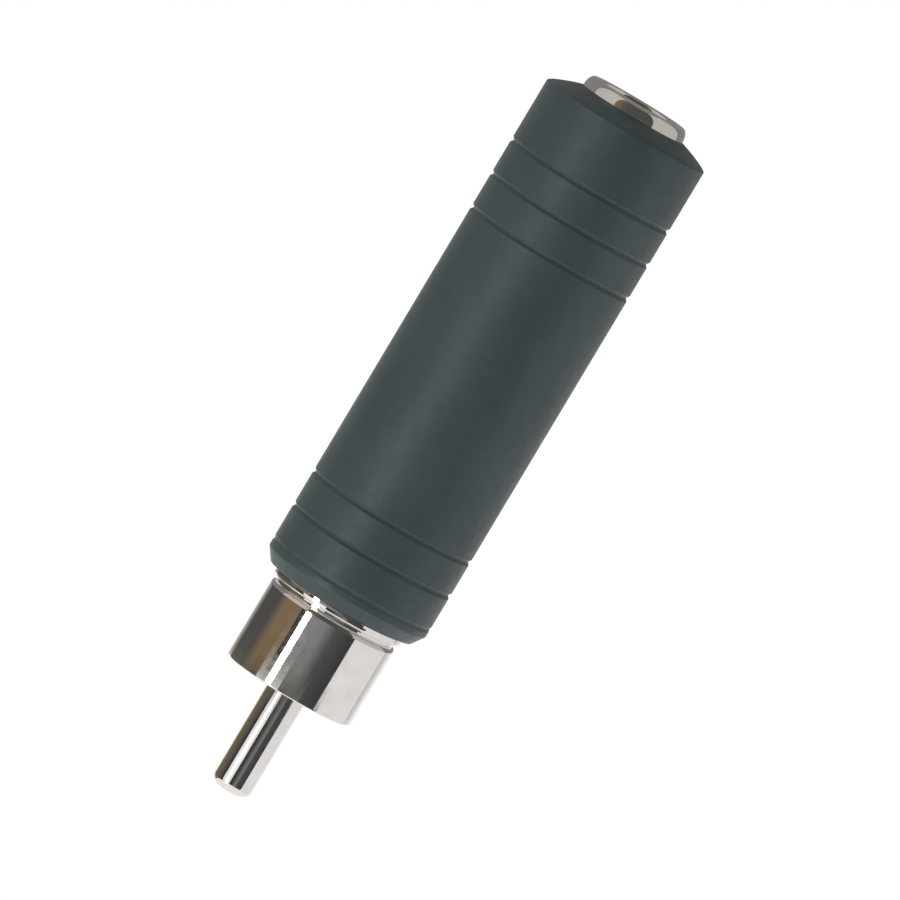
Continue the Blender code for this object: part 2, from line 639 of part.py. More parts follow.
def make_ground_circuit():
    """Black lead from the ground lug to the tag on the shell."""
    lug_face = -(LUG_OUTER - FIT - LUG_THICKNESS)
    lug_bead = LUG_TAIL_END - BEAD_LENGTH
    place("lug_solder", solder_bead((0.0, lug_face, lug_bead), (0.0, 1.0, 0.0)), SOLDER)
    tag_face = -(POCKET_RADIUS - TAG_CLEARANCE - FIT)
    tag_bead = TAG_TAIL_END + BEAD_LENGTH / 2
    place("tag_solder", solder_bead((0.0, tag_face, tag_bead), (0.0, -1.0, 0.0)), SOLDER)

    start = lug_bead + BEAD_LENGTH / 2 + SOLDER_GAP
    end = tag_bead - BEAD_LENGTH / 2 - SOLDER_GAP
    near = lug_face + SOLDER_GAP + WIRE_RADIUS
    far = tag_face - SOLDER_GAP - WIRE_RADIUS
    sway = JACKET_RADIUS
    stops = ((0.0, near, 0.0), (0.0, near, 0.1), (sway, -LEAD_ROUTE_RADIUS, 0.3),
             (0.0, -LEAD_ROUTE_RADIUS, 0.5), (-sway, -LEAD_ROUTE_RADIUS, 0.7),
             (0.0, far, 0.9), (0.0, far, 1.0))
    route = [Vector((x, y, start + (end - start) * share)) for x, y, share in stops]
    make_lead("ground_lead", route, BLACK_JACKET)


def main():
    clear_scene()
    make_barrel()
    make_nose_bushing()
    make_ground_lug()
    make_contact_ring()
    make_tip_spring()
    make_tip_terminal()
    make_plug_shell()
    make_plug_insulator()
    make_plug_pin()
    make_pin_retainer()
    make_ground_tag()
    make_tip_circuit()
    make_ground_circuit()


main()
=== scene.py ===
"""Studio view of the straight adapter, dressed over its fixed CAD frame.

The turned pieces that show outside are turned again here with fine rounded edges. Every
other piece is the CAD node itself, with softened edges. Lengths are in millimetres and
angles in degrees, unless a comment says otherwise.
"""

import json
import math

import bmesh
import bpy
from mathutils import Matrix, Vector

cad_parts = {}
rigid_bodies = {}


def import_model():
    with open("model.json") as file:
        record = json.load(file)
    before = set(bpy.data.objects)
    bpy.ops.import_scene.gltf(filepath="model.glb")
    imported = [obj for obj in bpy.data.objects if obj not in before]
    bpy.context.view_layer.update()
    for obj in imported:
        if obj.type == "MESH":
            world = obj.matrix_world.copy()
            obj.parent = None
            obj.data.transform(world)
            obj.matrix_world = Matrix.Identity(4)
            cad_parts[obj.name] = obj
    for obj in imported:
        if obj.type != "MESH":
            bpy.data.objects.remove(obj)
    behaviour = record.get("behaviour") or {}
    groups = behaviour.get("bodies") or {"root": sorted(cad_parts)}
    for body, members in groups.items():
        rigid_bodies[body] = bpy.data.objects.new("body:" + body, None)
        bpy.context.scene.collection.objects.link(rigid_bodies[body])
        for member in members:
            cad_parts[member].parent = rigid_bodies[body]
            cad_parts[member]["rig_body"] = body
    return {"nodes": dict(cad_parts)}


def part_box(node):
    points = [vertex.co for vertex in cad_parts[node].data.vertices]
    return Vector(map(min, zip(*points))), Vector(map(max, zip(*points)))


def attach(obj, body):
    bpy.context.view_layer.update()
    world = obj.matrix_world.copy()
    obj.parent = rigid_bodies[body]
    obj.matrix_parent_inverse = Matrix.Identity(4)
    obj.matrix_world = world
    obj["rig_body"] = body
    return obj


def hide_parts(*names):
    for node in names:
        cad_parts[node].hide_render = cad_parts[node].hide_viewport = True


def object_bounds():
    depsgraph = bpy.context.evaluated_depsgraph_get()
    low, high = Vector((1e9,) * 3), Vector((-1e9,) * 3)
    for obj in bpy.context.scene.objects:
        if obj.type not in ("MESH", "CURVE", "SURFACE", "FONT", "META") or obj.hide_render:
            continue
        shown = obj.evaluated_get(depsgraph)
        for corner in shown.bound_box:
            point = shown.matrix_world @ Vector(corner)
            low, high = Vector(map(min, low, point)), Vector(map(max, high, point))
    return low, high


MM = 0.001

# Mesh detail
SEGMENTS = 192
PIN_SEGMENTS = 128
INSULATOR_SEGMENTS = 96
DOME_STEPS = 24
FILLET_STEPS = 6
QUARTER_STEPS = 12
CARD_STEPS = 12
SHARP_ANGLE = 35.0
ON_AXIS = 1e-6
SAME_RADIUS = 1e-3

# Fillets of the turned outlines, and the share of a side that one may take
HAIR_FILLET = 0.02
TIGHT_FILLET = 0.03
FINE_FILLET = 0.05
CRISP_FILLET = 0.06
SMALL_FILLET = 0.08
PLAIN_FILLET = 0.1
SOFT_FILLET = 0.12
RIM_FILLET = 0.14
LONGEST_FILLET = 0.49

# Play between pieces that fit into each other
FIT = 0.05

# Barrel
SHOULDER_SETBACK = 1.9
SHOULDER_DROP = 0.12
DOME_RADIUS = 15.0
DOME_INSET = 0.15
BARREL_BORE = 5.3
FRONT_WALL = 1.7
REAR_CHAMFER = (0.7, 1.0)
CHAMFER_FILLET = 0.35
GROOVE_PITCH = 2.9
GROOVE_WIDTH = 0.5
FRONT_GROOVE_DEPTHS = (0.2, 0.2, 0.2)
REAR_GROOVE_DEPTHS = (0.2, 0.2, 0.09)
FRONT_GROOVE_SETBACK = 5.25
REAR_GROOVE_SETBACK = 1.65

# Nose bushing
SOCKET_RADIUS = 3.25
NOSE_RADIUS = 4.25
NOSE_ROUND = (0.5, 0.9)
MOUTH_ROUND = 0.3
TUBE_RADIUS = 3.8
BAND_LENGTH = 3.8

# Ribs of the pressed bands, whose pitch is in segments
RIB_DEPTH = 0.1
RIB_PITCH = 4
RIB_INSET = 0.01

# Plug shell
SHANK_WALL = 1.1
POCKET_DEPTH = 2.8
WEB_THICKNESS = 3.9
WEB_BORE = 2.6
FLANGE_RADIUS = 5.45
FLANGE_THICKNESS = 0.6
FLANGE_FILLETS = (0.25, 0.28)
WAIST_LENGTH = 0.3
WAIST_DEPTH = 0.3
SHELL_ROUND = 0.45
SHELL_RADIUS = 5.3
SHELL_BORE = 4.2

# Insulator and pin
STEM_RADIUS = 2.55
STEM_FILLET = 0.15
HEAD_THICKNESS = 1.15
HEAD_STEP_RADIUS = 2.6
HEAD_STEP_HEIGHT = 0.3
PIN_TIP = (0.85, 0.8)
PIN_STEP_DEPTH = 1.05
PIN_STEM_RADIUS = 1.1
CUP_RADIUS = 0.6
CUP_DEPTH = 1.8

# Softening of the CAD nodes. A lead's bevel leaves its small facets to the smoothing
WELD_DISTANCE = 0.002
BEVEL_SEGMENTS = 2
BEVEL_ANGLE = 40.0
LEAD_BEVEL_ANGLE = 60.0
LEAD_SMOOTHING = 2

# Darkest and lightest colour of each material
BARREL_COLOURS = ((0.023, 0.042, 0.044), (0.029, 0.050, 0.053))
INSULATOR_COLOURS = ((0.022, 0.022, 0.023), (0.032, 0.032, 0.034))
NYLON_COLOURS = ((0.70, 0.66, 0.55), (0.80, 0.77, 0.67))
NICKEL_COLOURS = ((0.74, 0.71, 0.67), (0.82, 0.80, 0.77))
TINNED_COLOURS = ((0.60, 0.60, 0.58), (0.76, 0.76, 0.75))
BRONZE_COLOURS = ((0.62, 0.40, 0.24), (0.74, 0.52, 0.34))
BRASS_COLOURS = ((0.66, 0.50, 0.24), (0.78, 0.62, 0.34))
COPPER_COLOURS = ((0.74, 0.38, 0.24), (0.86, 0.50, 0.34))
SOLDER_COLOURS = ((0.52, 0.53, 0.54), (0.72, 0.73, 0.74))
RED_JACKET_COLOURS = ((0.42, 0.02, 0.02), (0.58, 0.04, 0.03))
BLACK_JACKET_COLOURS = ((0.015, 0.015, 0.016), (0.03, 0.03, 0.03))
PLASTIC_SHEEN = 0.11
NOISE_SPAN = (0.3, 0.7)

# Camera: below the nose's side, rolled so that the nose points up and to the right
CAMERA_ELEVATION = -4.8
CAMERA_ROLL = -149.11
CAMERA_DISTANCE = 840.0
PICTURE_SIDE = 900.0
PIXELS_PER_MM = 13.484
AXIS_IN_PICTURE = (433.3, 447.3)
SENSOR = 36.0

# Studio. Angles run round the axis from the camera's side, toward the picture's right
FLOOR_HALF = 1500.0
FLOOR_GAP = 0.02
FLOOR_COLOUR = (0.86, 0.86, 0.86, 1.0)
FLOOR_ROUGHNESS = 0.9
WHITE = (1.0, 1.0, 1.0, 1.0)
AMBIENT = 0.85
STRIP_ANGLES = (-39.5, -29.5)
STRIP_RADIUS = 420.0
STRIP_HEIGHTS = (40.0, 474.0)
STRIP_RADIANCE = 7.5

# Cards: glowing boards in six tones, no lamps, which only reflections see: they are painted
# reflections, dark and light, in the bright metal. The nose, the shell and the pin each see those
# at their own heights, and leave the strip free. Each has its name, its first and last angle, and
# its tone at each of the two, or one tone for both
WALL_RADIUS = 450.0
GROUND_HOLE = 0.5
WALL_LOW = -900.0
SHELL_BOARDS = 40.0
PIN_BOARDS = 100.2
WALL_HIGH = 360.0
BLACK_TONE = (0.05, 0.05, 0.05)
DARK_TONE = (0.09, 0.09, 0.09)
WARM_TONE = (0.24, 0.17, 0.10)
GREY_TONE = (0.25, 0.25, 0.25)
PALE_TONE = (0.58, 0.56, 0.53)
BRIGHT_TONE = (0.88, 0.88, 0.90)
SHELL_CARDS = (
    ("far_board", (-160.0, -136.0), PALE_TONE, DARK_TONE),
    ("far_flag", (-136.0, -98.0), DARK_TONE),
    ("warm_board", (-98.0, -80.0), DARK_TONE, WARM_TONE),
    ("warm_board_near", (-80.0, -48.5), WARM_TONE),
    ("dark_line", (-48.5, STRIP_ANGLES[0]), BLACK_TONE),
    ("camera_board", (STRIP_ANGLES[1], -0.5), GREY_TONE),
    ("camera_flag", (-0.5, 18.0), GREY_TONE, DARK_TONE),
    ("dark_flag", (18.0, 52.0), DARK_TONE, BLACK_TONE),
    ("soft_board", (52.0, 128.0), BRIGHT_TONE),
    ("side_board", (128.0, 150.0), PALE_TONE, BRIGHT_TONE),
)
PIN_CARDS = (
    ("pin_warm", (-140.0, -75.0), WARM_TONE, DARK_TONE),
    ("pin_line", (-75.0, -59.0), BLACK_TONE),
    ("pin_flag", (-15.0, 0.0), BLACK_TONE),
    ("pin_grey", (0.0, 23.0), DARK_TONE, GREY_TONE),
    ("pin_shade", (23.0, 59.0), DARK_TONE, BLACK_TONE),
    ("pin_board", (59.0, 145.0), BRIGHT_TONE),
)
NOSE_CARDS = (
    ("nose_left", (-97.0, -42.0), PALE_TONE),
    ("nose_warm", (-42.0, -20.0), WARM_TONE, DARK_TONE),
    ("nose_flag", (-20.0, 47.0), DARK_TONE),
    ("nose_right", (47.0, 121.0), PALE_TONE),
)
FAR_ANGLES = (121.0, 263.0)
FAR_STEPS = 36
GROUND_ANGLES = (-180.0, 180.0)
GROUND_STEPS = 48


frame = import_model()
cad_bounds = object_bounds()


# Helpers

def add(name, data):
    """A new object in the scene."""
    item = bpy.data.objects.new(name, data)
    bpy.context.scene.collection.objects.link(item)
    return item


def mesh_from(name, shape):
    mesh = bpy.data.meshes.new(name)
    shape.to_mesh(mesh)
    shape.free()
    return mesh


def span(node):
    """Outer radius, lowest and highest station of a turned CAD node."""
    low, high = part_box(node)
    return high.x / MM, low.z / MM, high.z / MM


# Shapes of the turned pieces, and softening of the others

def rounded(corners):
    """Closed chain of (radius, z) points from (radius, z, fillet) corners."""
    chain = []
    count = len(corners)
    for index, (radius, z, fillet) in enumerate(corners):
        here = Vector((radius, z))
        if fillet == 0.0:
            chain.append(here)
            continue
        before = Vector(corners[index - 1][:2]) - here
        after = Vector(corners[(index + 1) % count][:2]) - here
        wanted = fillet / math.tan(before.angle(after) / 2)
        longest = min(before.length, after.length) * LONGEST_FILLET
        reach = min(wanted, longest)
        start = here + before.normalized() * reach
        end = here + after.normalized() * reach
        for step in range(FILLET_STEPS + 1):
            share = step / FILLET_STEPS
            chain.append(start.lerp(here, share).lerp(here.lerp(end, share), share))
    return chain


def quarter(centre, radii, start, end):
    """Corners without fillets along an ellipse, angles from the radial direction toward +Z."""
    corners = []
    for step in range(QUARTER_STEPS + 1):
        angle = math.radians(start + (end - start) * step / QUARTER_STEPS)
        radius = centre[0] + radii[0] * math.cos(angle)
        corners.append((radius, centre[1] + radii[1] * math.sin(angle), 0.0))
    return corners


def band(radius, front, back):
    """Corners of a ribbed band, whose ribs stop just short of its two faces."""
    return [(radius, front, 0.0), (radius, front + RIB_INSET, 0.0),
            (radius, back - RIB_INSET, 0.0), (radius, back, 0.0)]


def turned(chain, segments=SEGMENTS, bands=()):
    """Spin a closed chain round Z. Each band is the (radius, first z, last z) of a ribbed one."""
    shape = bmesh.new()
    rings = []
    for radius, z in chain:
        if radius < ON_AXIS:
            rings.append([shape.verts.new((0.0, 0.0, z * MM))])
            continue
        ribbed = any(abs(radius - outer) < SAME_RADIUS and first < z < last
                     for outer, first, last in bands)
        ring = []
        for step in range(segments):
            angle = math.tau * step / segments
            low = ribbed and step % RIB_PITCH < RIB_PITCH / 2
            reach = radius - RIB_DEPTH if low else radius
            spot = (reach * math.cos(angle) * MM, reach * math.sin(angle) * MM, z * MM)
            ring.append(shape.verts.new(spot))
        rings.append(ring)
    for lower, upper in zip(rings, rings[1:] + rings[:1]):
        for step in range(segments):
            ahead = (step + 1) % segments
            corners = (lower[step % len(lower)], lower[ahead % len(lower)],
                       upper[ahead % len(upper)], upper[step % len(upper)])
            distinct = list(dict.fromkeys(corners))
            if len(distinct) > 2:
                shape.faces.new(distinct)
    bmesh.ops.recalc_face_normals(shape, faces=shape.faces)
    return shape


def dress(name, shape, node, material):
    """A finished piece that stands for one CAD node and rides on its body."""
    mesh = mesh_from(name, shape)
    mesh.shade_smooth()
    mesh.set_sharp_from_angle(angle=math.radians(SHARP_ANGLE))
    mesh.materials.append(material)
    piece = add(name, mesh)
    shading = piece.modifiers.new("shading", "WEIGHTED_NORMAL")
    shading.keep_sharp = True
    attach(piece, frame["nodes"][node]["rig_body"])
    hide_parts(node)


def refine(node, material, edge=0.0, smoothing=0):
    """Keep a CAD node, softened by modifiers, with a finished material."""
    item = frame["nodes"][node]
    weld = item.modifiers.new("weld", "WELD")
    weld.merge_threshold = WELD_DISTANCE * MM
    if edge:
        bevel = item.modifiers.new("edge", "BEVEL")
        bevel.width = edge * MM
        bevel.segments = BEVEL_SEGMENTS
        bevel.limit_method = "ANGLE"
        bevel.angle_limit = math.radians(LEAD_BEVEL_ANGLE if smoothing else BEVEL_ANGLE)
        bevel.harden_normals = True
    if smoothing:
        smooth = item.modifiers.new("smooth", "SUBSURF")
        smooth.levels = smoothing
        smooth.render_levels = smoothing
    for slot in item.material_slots:
        slot.material = material


def groove(middle, radius, depth):
    half = GROOVE_WIDTH / 2
    return [(radius, middle - half, CRISP_FILLET), (radius - depth, middle, SMALL_FILLET),
            (radius, middle + half, CRISP_FILLET)]


def make_barrel(material):
    radius, front, end = span("barrel")
    hole = NOSE_RADIUS + FIT
    shoulder = radius - SHOULDER_DROP
    centre = SHOULDER_SETBACK + math.sqrt(DOME_RADIUS ** 2 - shoulder ** 2)
    corners = []
    for step in range(DOME_STEPS + 1):
        reach = hole + (shoulder - DOME_INSET - hole) * step / DOME_STEPS
        corners.append((reach, centre - math.sqrt(DOME_RADIUS ** 2 - reach ** 2), 0.0))
    corners.append((radius, SHOULDER_SETBACK + SHOULDER_DROP, SOFT_FILLET))
    first = SHOULDER_SETBACK + FRONT_GROOVE_SETBACK
    for index, depth in enumerate(FRONT_GROOVE_DEPTHS):
        corners += groove(first + index * GROOVE_PITCH, radius, depth)
    last = end - REAR_GROOVE_SETBACK
    for index, depth in zip((2, 1, 0), REAR_GROOVE_DEPTHS):
        corners += groove(last - index * GROOVE_PITCH, radius, depth)
    chamfer_depth, chamfer_length = REAR_CHAMFER
    wall_back = front + FRONT_WALL
    corners += [(radius, end - chamfer_length, CHAMFER_FILLET),
                (radius - chamfer_depth, end, SOFT_FILLET), (BARREL_BORE, end, FINE_FILLET),
                (BARREL_BORE, wall_back, PLAIN_FILLET), (hole, wall_back, TIGHT_FILLET)]
    dress("barrel_skin", turned(rounded(corners)), "barrel", material)


def make_nose(material):
    radius, front, end = span("nose_bushing")
    wide, tall = NOSE_ROUND
    band_front = span("barrel")[1] + FRONT_WALL + FIT
    band_back = band_front + BAND_LENGTH
    corners = quarter((SOCKET_RADIUS + MOUTH_ROUND, front + MOUTH_ROUND),
                      (MOUTH_ROUND, MOUTH_ROUND), 180.0, 270.0)
    corners += quarter((NOSE_RADIUS - wide, front + tall), (wide, tall), -90.0, 0.0)
    corners.append((NOSE_RADIUS, band_front, FINE_FILLET))
    corners += band(radius, band_front, band_back)
    corners += [(TUBE_RADIUS, band_back, PLAIN_FILLET), (TUBE_RADIUS, end, PLAIN_FILLET),
                (SOCKET_RADIUS, end, PLAIN_FILLET)]
    shape = turned(rounded(corners), bands=[(radius, band_front, band_back)])
    dress("nose_skin", shape, "nose_bushing", material)


def make_shell(material):
    _, low, end = span("plug_shell")
    seat = span("barrel")[2] + FIT
    pressed = BARREL_BORE - FIT
    pocket = pressed - SHANK_WALL
    flange_end = seat + FLANGE_THICKNESS
    waist = SHELL_RADIUS - WAIST_DEPTH
    waist_end = flange_end + WAIST_LENGTH
    web_back = low + POCKET_DEPTH
    web_front = web_back + WEB_THICKNESS
    corners = [(pocket, low, PLAIN_FILLET), *band(pressed, low, seat),
               (FLANGE_RADIUS, seat, FLANGE_FILLETS[0]),
               (FLANGE_RADIUS, flange_end, FLANGE_FILLETS[1]),
               (waist, flange_end, SMALL_FILLET), (waist, waist_end, CRISP_FILLET)]
    shoulder = quarter((waist, waist_end + SHELL_ROUND), (WAIST_DEPTH, SHELL_ROUND), -90.0, 0.0)
    corners += shoulder[1:]
    corners += [(SHELL_RADIUS, end, RIM_FILLET), (SHELL_BORE, end, RIM_FILLET),
                (SHELL_BORE, web_front, PLAIN_FILLET), (WEB_BORE, web_front, FINE_FILLET),
                (WEB_BORE, web_back, FINE_FILLET), (pocket, web_back, PLAIN_FILLET)]
    shape = turned(rounded(corners), bands=[(pressed, low, seat)])
    dress("shell_skin", shape, "plug_shell", material)


def make_insulator(material):
    head, low, end = span("plug_insulator")
    narrow = PIN_STEM_RADIUS + FIT
    wide = span("plug_pin")[0] + FIT
    step = end - PIN_STEP_DEPTH - FIT
    back = end - HEAD_THICKNESS
    corners = [(narrow, low, FINE_FILLET), (STEM_RADIUS, low, STEM_FILLET),
               (STEM_RADIUS, back, FINE_FILLET), (head, back, FINE_FILLET),
               (head, end - HEAD_STEP_HEIGHT, SOFT_FILLET),
               (HEAD_STEP_RADIUS, end - HEAD_STEP_HEIGHT, SMALL_FILLET),
               (HEAD_STEP_RADIUS, end, SOFT_FILLET), (wide, end, CRISP_FILLET),
               (wide, step, HAIR_FILLET), (narrow, step, HAIR_FILLET)]
    shape = turned(rounded(corners), INSULATOR_SEGMENTS)
    dress("insulator_skin", shape, "plug_insulator", material)


def make_pin(material):
    radius, low, end = span("plug_pin")
    wide, tall = PIN_TIP
    step = span("plug_insulator")[2] - PIN_STEP_DEPTH
    corners = [(0.0, low + CUP_DEPTH, 0.0), (CUP_RADIUS, low + CUP_DEPTH, PLAIN_FILLET),
               (CUP_RADIUS, low, FINE_FILLET), (PIN_STEM_RADIUS, low, SMALL_FILLET),
               (PIN_STEM_RADIUS, step, FINE_FILLET), (radius, step, SMALL_FILLET)]
    corners += quarter((radius - wide, end - tall), (wide, tall), 0.0, 90.0)
    corners.append((0.0, end, 0.0))
    shape = turned(rounded(corners), PIN_SEGMENTS)
    dress("pin_skin", shape, "plug_pin", material)


# Materials

class Finish:
    """A Principled material with helpers that add procedural detail to it."""

    def __init__(self, name, **values):
        self.material = bpy.data.materials.new(name)
        self.material.use_nodes = True
        self.tree = self.material.node_tree
        self.shader = self.tree.nodes["Principled BSDF"]
        self.place = self.tree.nodes.new("ShaderNodeTexCoord").outputs["Object"]
        for socket, value in values.items():
            self.shader.inputs[socket.replace("_", " ")].default_value = value

    def noise(self, size, detail, stretch=(1.0, 1.0, 1.0), coordinate=None):
        """Noise from 0 to 1 whose features measure about size millimetres."""
        mapping = self.tree.nodes.new("ShaderNodeMapping")
        mapping.inputs["Scale"].default_value = [1.0 / (size * MM * axis) for axis in stretch]
        self.tree.links.new(coordinate or self.place, mapping.inputs["Vector"])
        noise = self.tree.nodes.new("ShaderNodeTexNoise")
        noise.inputs["Scale"].default_value = 1.0
        noise.inputs["Detail"].default_value = detail
        self.tree.links.new(mapping.outputs["Vector"], noise.inputs["Vector"])
        return noise.outputs["Fac"]

    def lathe(self):
        """Coordinate that changes only with radius and height, so detail runs round the piece."""
        apart = self.tree.nodes.new("ShaderNodeSeparateXYZ")
        self.tree.links.new(self.place, apart.inputs[0])
        across = self.tree.nodes.new("ShaderNodeVectorMath")
        across.operation = "MULTIPLY"
        across.inputs[1].default_value = (1.0, 1.0, 0.0)
        self.tree.links.new(self.place, across.inputs[0])
        length = self.tree.nodes.new("ShaderNodeVectorMath")
        length.operation = "LENGTH"
        self.tree.links.new(across.outputs[0], length.inputs[0])
        joined = self.tree.nodes.new("ShaderNodeCombineXYZ")
        self.tree.links.new(length.outputs["Value"], joined.inputs["X"])
        self.tree.links.new(apart.outputs["Z"], joined.inputs["Z"])
        return joined.outputs[0]

    def between(self, value, low, high):
        """The noise's usual span, spread from low to high."""
        ramp = self.tree.nodes.new("ShaderNodeMapRange")
        for socket, number in (("From Min", NOISE_SPAN[0]), ("From Max", NOISE_SPAN[1]),
                               ("To Min", low), ("To Max", high)):
            ramp.inputs[socket].default_value = number
        self.tree.links.new(value, ramp.inputs["Value"])
        return ramp.outputs["Result"]

    def colour(self, value, dark, light):
        mix = self.tree.nodes.new("ShaderNodeMix")
        mix.data_type = "RGBA"
        mix.inputs["A"].default_value = (*dark, 1.0)
        mix.inputs["B"].default_value = (*light, 1.0)
        self.tree.links.new(self.between(value, 0.0, 1.0), mix.inputs["Factor"])
        self.tree.links.new(mix.outputs["Result"], self.shader.inputs["Base Color"])

    def roughness(self, value, low, high):
        self.tree.links.new(self.between(value, low, high), self.shader.inputs["Roughness"])

    def bump(self, value, height):
        """Relief of that height in millimetres, laid over what is there."""
        bump = self.tree.nodes.new("ShaderNodeBump")
        bump.inputs["Distance"].default_value = height * MM
        bump.inputs["Strength"].default_value = 1.0
        self.tree.links.new(value, bump.inputs["Height"])
        normal = self.shader.inputs["Normal"]
        if normal.links:
            self.tree.links.new(normal.links[0].from_socket, bump.inputs["Normal"])
        self.tree.links.new(bump.outputs["Normal"], normal)


def moulded_plastic(name, colours, roughness, grain):
    """Fine grain over a coarser one, with faint flow marks along the axis and a soft sheen."""
    finish = Finish(name, Sheen_Weight=PLASTIC_SHEEN)
    finish.colour(finish.noise(size=3.0, detail=3.0, stretch=(1.0, 1.0, 2.5)), *colours)
    finish.roughness(finish.noise(size=0.7, detail=4.0), *roughness)
    finish.bump(finish.noise(size=grain, detail=3.0), height=grain * 0.06)
    finish.bump(finish.noise(size=grain * 6.0, detail=2.0), height=grain * 0.12)
    return finish.material


def bright_plate(name):
    """Plated metal with the faint marks of turning round it."""
    finish = Finish(name, Metallic=1.0)
    finish.colour(finish.noise(size=1.6, detail=4.0), *NICKEL_COLOURS)
    finish.roughness(finish.noise(size=0.5, detail=4.0), low=0.03, high=0.075)
    marks = finish.noise(size=0.035, detail=2.0, coordinate=finish.lathe())
    finish.bump(marks, height=0.0002)
    return finish.material


def sheet_metal(name, colours, roughness, grain):
    """Rolled or stamped sheet, with fine marks along the axis."""
    finish = Finish(name, Metallic=1.0)
    finish.colour(finish.noise(size=0.8, detail=4.0), *colours)
    finish.roughness(finish.noise(size=0.3, detail=3.0), *roughness)
    marks = finish.noise(size=grain, detail=3.0, stretch=(1.0, 1.0, 12.0))
    finish.bump(marks, height=grain * 0.05)
    return finish.material


def cooled_solder(name):
    finish = Finish(name, Metallic=1.0)
    finish.colour(finish.noise(size=0.25, detail=4.0), *SOLDER_COLOURS)
    finish.roughness(finish.noise(size=0.15, detail=3.0), low=0.16, high=0.4)
    finish.bump(finish.noise(size=0.2, detail=3.0), height=0.02)
    return finish.material


def extruded_jacket(name, colours):
    finish = Finish(name)
    finish.colour(finish.noise(size=1.2, detail=3.0), *colours)
    finish.roughness(finish.noise(size=0.4, detail=3.0), low=0.28, high=0.42)
    marks = finish.noise(size=0.12, detail=3.0, stretch=(1.0, 1.0, 6.0))
    finish.bump(marks, height=0.004)
    return finish.material


# Studio

def around(angle, radius, z):
    """Point at an angle round the axis from the camera's side, growing to the picture's right."""
    turn = math.radians(angle)
    return Vector((-radius * math.sin(turn), -radius * math.cos(turn), z)) * MM


def painted_reflection_glow():
    """Painted reflection: glow in the tone that each card carries at its corners."""
    material = bpy.data.materials.new("painted_reflection_glow")
    material.use_nodes = True
    tree = material.node_tree
    tree.nodes.remove(tree.nodes["Principled BSDF"])
    tone = tree.nodes.new("ShaderNodeVertexColor")
    tone.layer_name = "tone"
    glow = tree.nodes.new("ShaderNodeEmission")
    tree.links.new(tone.outputs["Color"], glow.inputs["Color"])
    tree.links.new(glow.outputs[0], tree.nodes["Material Output"].inputs["Surface"])
    return material


def card(name, paint, angles, rims, tones, steps=CARD_STEPS):
    """Curved glowing card between two (radius, z) rims, which only reflections see, so it is a
    painted reflection.

    It is shaded from its first tone at the first angle to its last tone at the last one.
    """
    shape = bmesh.new()
    layer = shape.verts.layers.float_color.new("tone")
    columns = []
    for step in range(steps + 1):
        share = step / steps
        angle = angles[0] + (angles[1] - angles[0]) * share
        tone = [first + (last - first) * share for first, last in zip(tones[0], tones[-1])]
        column = [shape.verts.new(around(angle, radius, z)) for radius, z in rims]
        for corner in column:
            corner[layer] = (*tone, 1.0)
        columns.append(column)
    for first, second in zip(columns, columns[1:]):
        shape.faces.new((first[0], second[0], second[1], first[1]))
    mesh = mesh_from(name, shape)
    mesh.materials.append(paint)
    item = add(name, mesh)
    # Only glossy rays see the card: its glow is a painted reflection and lights nothing.
    item.visible_camera = False
    item.visible_diffuse = False
    item.visible_shadow = False
    item.visible_transmission = False


def make_cards():
    """Boards round the object, as the bright metal shows them in the photograph."""
    # Painted reflections, dark and light: glowing cards that only the bright metal's reflections
    # see.
    paint = painted_reflection_glow()
    rows = ((SHELL_CARDS, SHELL_BOARDS, PIN_BOARDS), (PIN_CARDS, PIN_BOARDS, WALL_HIGH),
            (NOSE_CARDS, WALL_LOW, SHELL_BOARDS))
    for cards, low, high in rows:
        for name, angles, *tones in cards:
            card(name, paint, angles, [(WALL_RADIUS, low), (WALL_RADIUS, high)], tones)
    far = [(WALL_RADIUS, WALL_LOW), (WALL_RADIUS, SHELL_BOARDS)]
    card("nose_far", paint, FAR_ANGLES, far, [GREY_TONE], steps=FAR_STEPS)
    disc = [(GROUND_HOLE, WALL_LOW), (WALL_RADIUS, WALL_LOW)]
    card("ground", paint, GROUND_ANGLES, disc, [GREY_TONE], steps=GROUND_STEPS)


def make_strip_light():
    """Tall narrow lamp, which lights the barrel and draws the bright line down the metal."""
    low, high = STRIP_HEIGHTS
    first, last = STRIP_ANGLES
    middle = (low + high) / 2
    height = high - low
    width = 2 * STRIP_RADIUS * math.tan(math.radians((last - first) / 2))
    data = bpy.data.lights.new("strip_light", "AREA")
    data.shape = "RECTANGLE"
    data.size = width * MM
    data.size_y = height * MM
    data.energy = STRIP_RADIANCE * math.pi * width * height * MM * MM
    strip = add("strip_light", data)
    strip.location = around((first + last) / 2, STRIP_RADIUS, middle)
    toward = Vector((0.0, 0.0, middle * MM)) - strip.location
    strip.rotation_euler = toward.to_track_quat("-Z", "Y").to_euler()
    strip.visible_camera = False


def make_floor():
    """Pale floor that keeps the object's shadow and is clear from below."""
    shape = bmesh.new()
    bmesh.ops.create_grid(shape, x_segments=2, y_segments=2, size=FLOOR_HALF * MM)
    floor = add("floor", mesh_from("floor", shape))
    floor.location.z = -FLOOR_GAP * MM
    floor.visible_glossy = False
    material = bpy.data.materials.new("pale_floor")
    material.use_nodes = True
    tree = material.node_tree
    paint = tree.nodes["Principled BSDF"]
    paint.inputs["Base Color"].default_value = FLOOR_COLOUR
    paint.inputs["Roughness"].default_value = FLOOR_ROUGHNESS
    geometry = tree.nodes.new("ShaderNodeNewGeometry")
    clear = tree.nodes.new("ShaderNodeBsdfTransparent")
    side = tree.nodes.new("ShaderNodeMixShader")
    tree.links.new(geometry.outputs["Backfacing"], side.inputs[0])
    tree.links.new(paint.outputs[0], side.inputs[1])
    tree.links.new(clear.outputs[0], side.inputs[2])
    tree.links.new(side.outputs[0], tree.nodes["Material Output"].inputs["Surface"])
    floor.data.materials.append(material)


